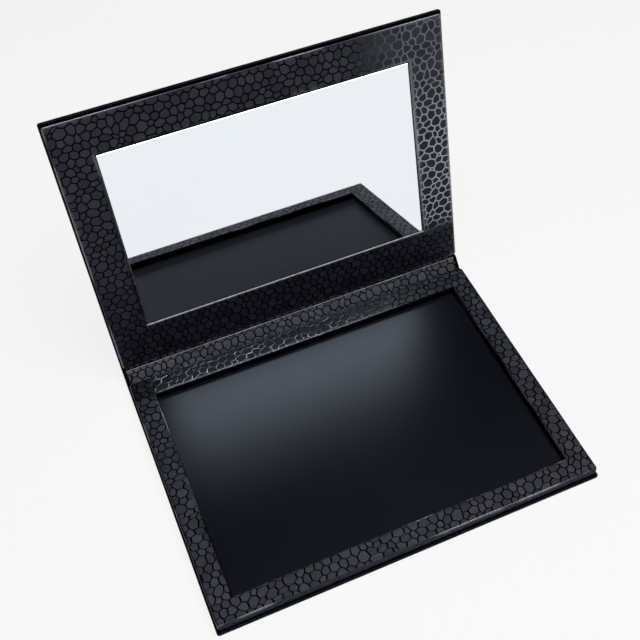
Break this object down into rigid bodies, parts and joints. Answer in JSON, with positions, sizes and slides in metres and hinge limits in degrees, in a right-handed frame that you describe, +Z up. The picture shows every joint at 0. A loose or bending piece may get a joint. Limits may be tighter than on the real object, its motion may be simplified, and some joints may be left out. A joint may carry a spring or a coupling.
{
  "type": "magnetic palette case",
  "caption": "Book-bound black palette case with a shallow magnetic well for small pans and a mirror lid on a folding spine hinge.",
  "frame": {"origin": "centre of the base's underside, on the surface that the case rests on", "axes": "+X to the right along the hinge, +Y from the free edge towards the hinge, +Z up"},
  "size_m": [0.195, 0.1839, 0.1528],
  "materials": {
    "embossed_paper": "scale-embossed black paper, low satin sheen",
    "greyboard": "bare pressed greyboard",
    "magnet_plating": "nickel plated",
    "black_card": "matt black card",
    "magnetic_rubber": "dull flexible magnetic sheet",
    "satin_film": "satin black film",
    "foam_tape": "white foam tape",
    "mirror_silver": "silver with grey backing paint",
    "mirror_face": "polished silvered glass"
  },
  "bodies": {
    "base": {"base_cover_paper": "embossed_paper", "base_board": "greyboard", "base_hinge_liner": "embossed_paper", "tray_frame_lower": "greyboard", "tray_frame_upper": "greyboard", "tray_wrap_paper": "embossed_paper", "tray_magnet_left": "magnet_plating", "tray_magnet_right": "magnet_plating", "floor_card": "black_card", "magnetic_sheet": "magnetic_rubber", "floor_film": "satin_film"},
    "spine": {"spine_board": "greyboard", "spine_cover_paper": "embossed_paper", "spine_liner": "embossed_paper"},
    "lid": {"lid_cover_paper": "embossed_paper", "lid_board": "greyboard", "lid_hinge_liner": "embossed_paper", "mirror_panel_board": "greyboard", "mirror_panel_wrap_paper": "embossed_paper", "mirror_tape": "foam_tape", "mirror_silvering": "mirror_silver", "mirror_glass": "mirror_face", "lid_magnet_left": "magnet_plating", "lid_magnet_right": "magnet_plating"}
  },
  "joints": [
    {"name": "spine_hinge", "type": "hinge", "parent": "base", "child": "spine", "pos_m": [0, 0.0744, 0.0004], "axis": [1, 0, 0], "range_deg": [-48, 42]},
    {"name": "lid_hinge", "type": "hinge", "parent": "spine", "child": "lid", "pos_m": [0, 0.08183, 0.00865], "axis": [1, 0, 0], "range_deg": [-30.5, 59.5]}
  ]
}
